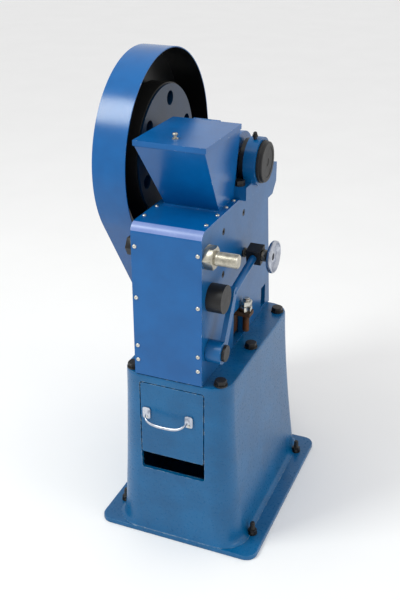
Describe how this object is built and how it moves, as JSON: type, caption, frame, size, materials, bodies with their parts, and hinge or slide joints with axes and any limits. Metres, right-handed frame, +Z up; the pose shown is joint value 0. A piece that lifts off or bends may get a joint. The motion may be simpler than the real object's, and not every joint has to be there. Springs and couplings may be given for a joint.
{
  "type": "jaw crusher",
  "caption": "Floor-standing laboratory jaw crusher with feed hopper and hinged lid, belt-driven eccentric shaft, belt guard, cam lever and collecting drawer in its pedestal.",
  "frame": {"origin": "centre of the base plate's underside, on the floor", "axes": "+Z up, front face with drawer and covers towards -Y, belt guard on the -X side"},
  "size_m": [0.408, 0.6964, 1.096],
  "materials": {
    "blue_enamel": "gloss",
    "black_oxide": "satin",
    "belt_rubber": "matte",
    "bright_steel": "satin",
    "machined_steel": "matte",
    "jaw_steel": "matte"
  },
  "bodies": {
    "frame": {"base_plate": "blue_enamel", "anchor_bolts": "black_oxide", "pedestal": "blue_enamel", "frame_bolts": "black_oxide", "discharge_chute": "machined_steel", "drawer_rails": "machined_steel", "side_plate_right": "blue_enamel", "side_plate_left": "blue_enamel", "front_cover": "blue_enamel", "front_screws": "bright_steel", "top_screws": "bright_steel", "rear_covers": "blue_enamel", "head_hood": "blue_enamel", "hopper": "blue_enamel", "hinge_fixed_leaf": "blue_enamel", "tie_bolt": "bright_steel", "tie_nuts": "bright_steel", "cheek_plates": "jaw_steel", "cheek_screws": "black_oxide", "rear_beam": "machined_steel", "toggle_plate": "machined_steel", "housing_right": "blue_enamel", "housing_left": "blue_enamel", "inner_caps": "black_oxide", "outer_caps": "black_oxide", "bearings": "bright_steel", "housing_bolts": "black_oxide", "grease_nipples": "black_oxide", "belt_guard": "blue_enamel", "drive_belt": "belt_rubber", "motor": "blue_enamel", "motor_bracket": "blue_enamel", "tension_spring": "machined_steel", "stop_boss": "black_oxide", "stop_screw": "bright_steel", "screw_bracket": "machined_steel", "gate_screw": "bright_steel"},
    "lid": {"hopper_lid": "blue_enamel", "lid_knob": "bright_steel"},
    "drawer": {"drawer_bin": "machined_steel", "drawer_front": "blue_enamel", "drawer_handle": "bright_steel", "handle_screws": "bright_steel"},
    "motor_rotor": {"motor_pulley": "machined_steel"},
    "shaft": {"eccentric_shaft": "bright_steel", "drive_wheel": "blue_enamel", "wheel_nut": "bright_steel"},
    "jaw": {"swing_jaw": "machined_steel", "jaw_bush": "bright_steel", "moving_jaw_plate": "jaw_steel", "tension_rod": "machined_steel"},
    "front_jaw_arm": {"front_jaw": "machined_steel", "fixed_jaw_plate": "jaw_steel"},
    "gap_lever": {"cam_shaft": "machined_steel", "lever": "blue_enamel", "lever_block": "black_oxide", "stop_spring": "bright_steel"},
    "clamp": {"clamp_spindle": "machined_steel", "handwheel": "bright_steel"}
  },
  "joints": [
    {"name": "shaft_spin", "type": "hinge", "parent": "frame", "child": "shaft", "pos_m": [0, 0.04, 0.865], "axis": [1, 0, 0], "continuous": true},
    {"name": "motor_spin", "type": "hinge", "parent": "frame", "child": "motor_rotor", "pos_m": [-0.16, 0.31, 0.206], "axis": [1, 0, 0], "continuous": true},
    {"name": "jaw_orbit", "type": "hinge", "parent": "shaft", "child": "jaw", "pos_m": [-0.009, 0.04, 0.87], "axis": [1, 0, 0], "continuous": true},
    {"name": "lid_open", "type": "hinge", "parent": "frame", "child": "lid", "pos_m": [-0.009, -0.036, 0.964], "axis": [-1, 0, 0], "range_deg": [0, 105]},
    {"name": "drawer_slide", "type": "slide", "parent": "frame", "child": "drawer", "axis": [0, -1, 0], "range_m": [0, 0.24]},
    {"name": "lever_swing", "type": "hinge", "parent": "frame", "child": "gap_lever", "pos_m": [0.08, -0.218, 0.517], "axis": [1, 0, 0], "range_deg": [0, 4]},
    {"name": "front_jaw_swing", "type": "hinge", "parent": "frame", "child": "front_jaw_arm", "pos_m": [-0.009, -0.232, 0.741], "axis": [-1, 0, 0], "range_deg": [0, 0.3]},
    {"name": "clamp_turn", "type": "hinge", "parent": "gap_lever", "child": "clamp", "pos_m": [0.1, -0.004, 0.661], "axis": [1, 0, 0], "range_deg": [0, 360]}
  ],
  "couplings": [
    {"joint": "motor_spin", "follows": "shaft_spin", "ratio": 3.32},
    {"joint": "jaw_orbit", "follows": "shaft_spin", "ratio": -1},
    {"joint": "front_jaw_swing", "follows": "lever_swing", "ratio": 0.0566}
  ]
}
